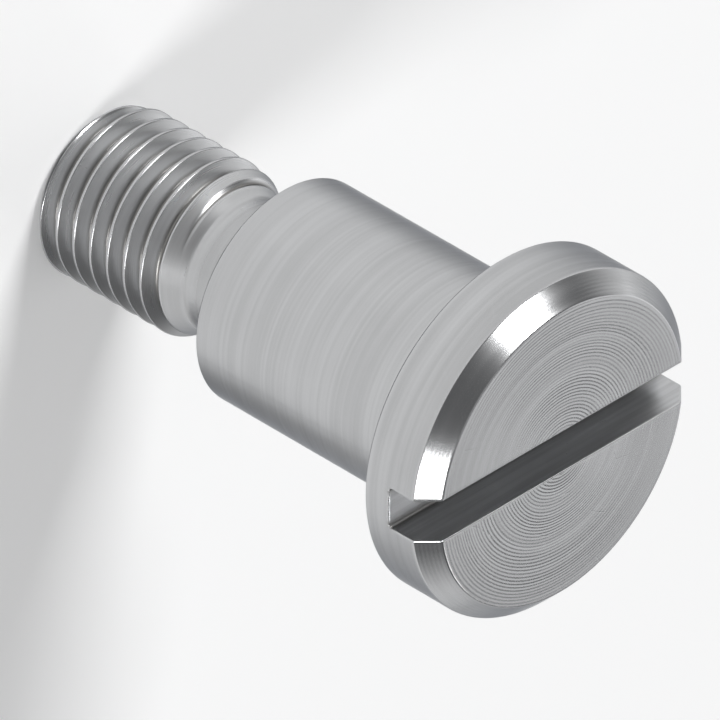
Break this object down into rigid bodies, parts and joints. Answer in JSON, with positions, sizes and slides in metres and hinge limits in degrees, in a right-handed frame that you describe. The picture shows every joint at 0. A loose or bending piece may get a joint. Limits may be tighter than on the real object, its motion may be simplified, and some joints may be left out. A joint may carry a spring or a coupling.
{
  "type": "shoulder bolt",
  "caption": "Slotted pan-head shoulder bolt: a low bevelled head with a straight driving slot, a smooth cylindrical shoulder, an undercut neck and a metric threaded stem.",
  "frame": {"origin": "on the bolt's axis, in the plane of the shoulder's lower face, which seats on the part that the thread enters", "axes": "+Z along the axis from the thread to the head, +X along the driving slot"},
  "size_m": [0.02, 0.02, 0.0341],
  "materials": {
    "steel": "bright turned steel, lightly polished"
  },
  "bodies": {
    "root": {"shoulder_bolt": "steel"}
  },
  "joints": []
}
